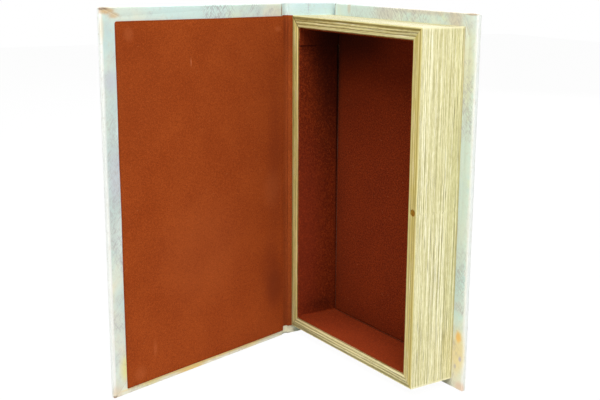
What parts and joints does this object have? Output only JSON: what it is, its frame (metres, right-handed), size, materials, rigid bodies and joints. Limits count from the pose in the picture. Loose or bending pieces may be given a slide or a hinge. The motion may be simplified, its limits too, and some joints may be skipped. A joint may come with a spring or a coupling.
{
  "type": "book box",
  "caption": "Keepsake box shaped like a hardcover book: a felt-lined tray with page-edge paper in a printed case, with a paper hinge and a magnetic closure.",
  "frame": {"origin": "middle of the back board's tail edge, on the surface that the box stands on", "axes": "+X towards the fore edge, +Y from the tray's mouth to the back board, +Z from tail to head"},
  "size_m": [0.1756, 0.2158, 0.27],
  "materials": {
    "greyboard": "matte",
    "cover_print": "matte",
    "page_print": "matte",
    "rust_felt": "matte",
    "bare_wood": "matte",
    "gilt_metal": "satin",
    "steel": "satin"
  },
  "bodies": {
    "case": {"back_board": "greyboard", "spine_board": "greyboard", "back_cover_paper": "cover_print", "spine_paper": "cover_print", "spine_felt": "rust_felt", "tray_tail_wall": "bare_wood", "tray_fore_wall": "bare_wood", "tray_head_wall": "bare_wood", "tray_spine_wall": "bare_wood", "page_paper_tail": "page_print", "page_paper_fore": "page_print", "page_paper_head": "page_print", "page_paper_spine": "page_print", "tray_wall_felt": "rust_felt", "tray_floor_felt": "rust_felt", "magnet": "gilt_metal"},
    "cover": {"front_board": "greyboard", "front_cover_paper": "cover_print", "hinge_paper": "cover_print", "hinge_felt": "rust_felt", "cover_felt": "rust_felt", "keeper_disc": "steel"}
  },
  "joints": [
    {"name": "cover_hinge", "type": "hinge", "parent": "case", "child": "cover", "pos_m": [-0.0911, -0.0446, 0.135], "axis": [0, 0, -1], "range_deg": [-75, 120]}
  ]
}
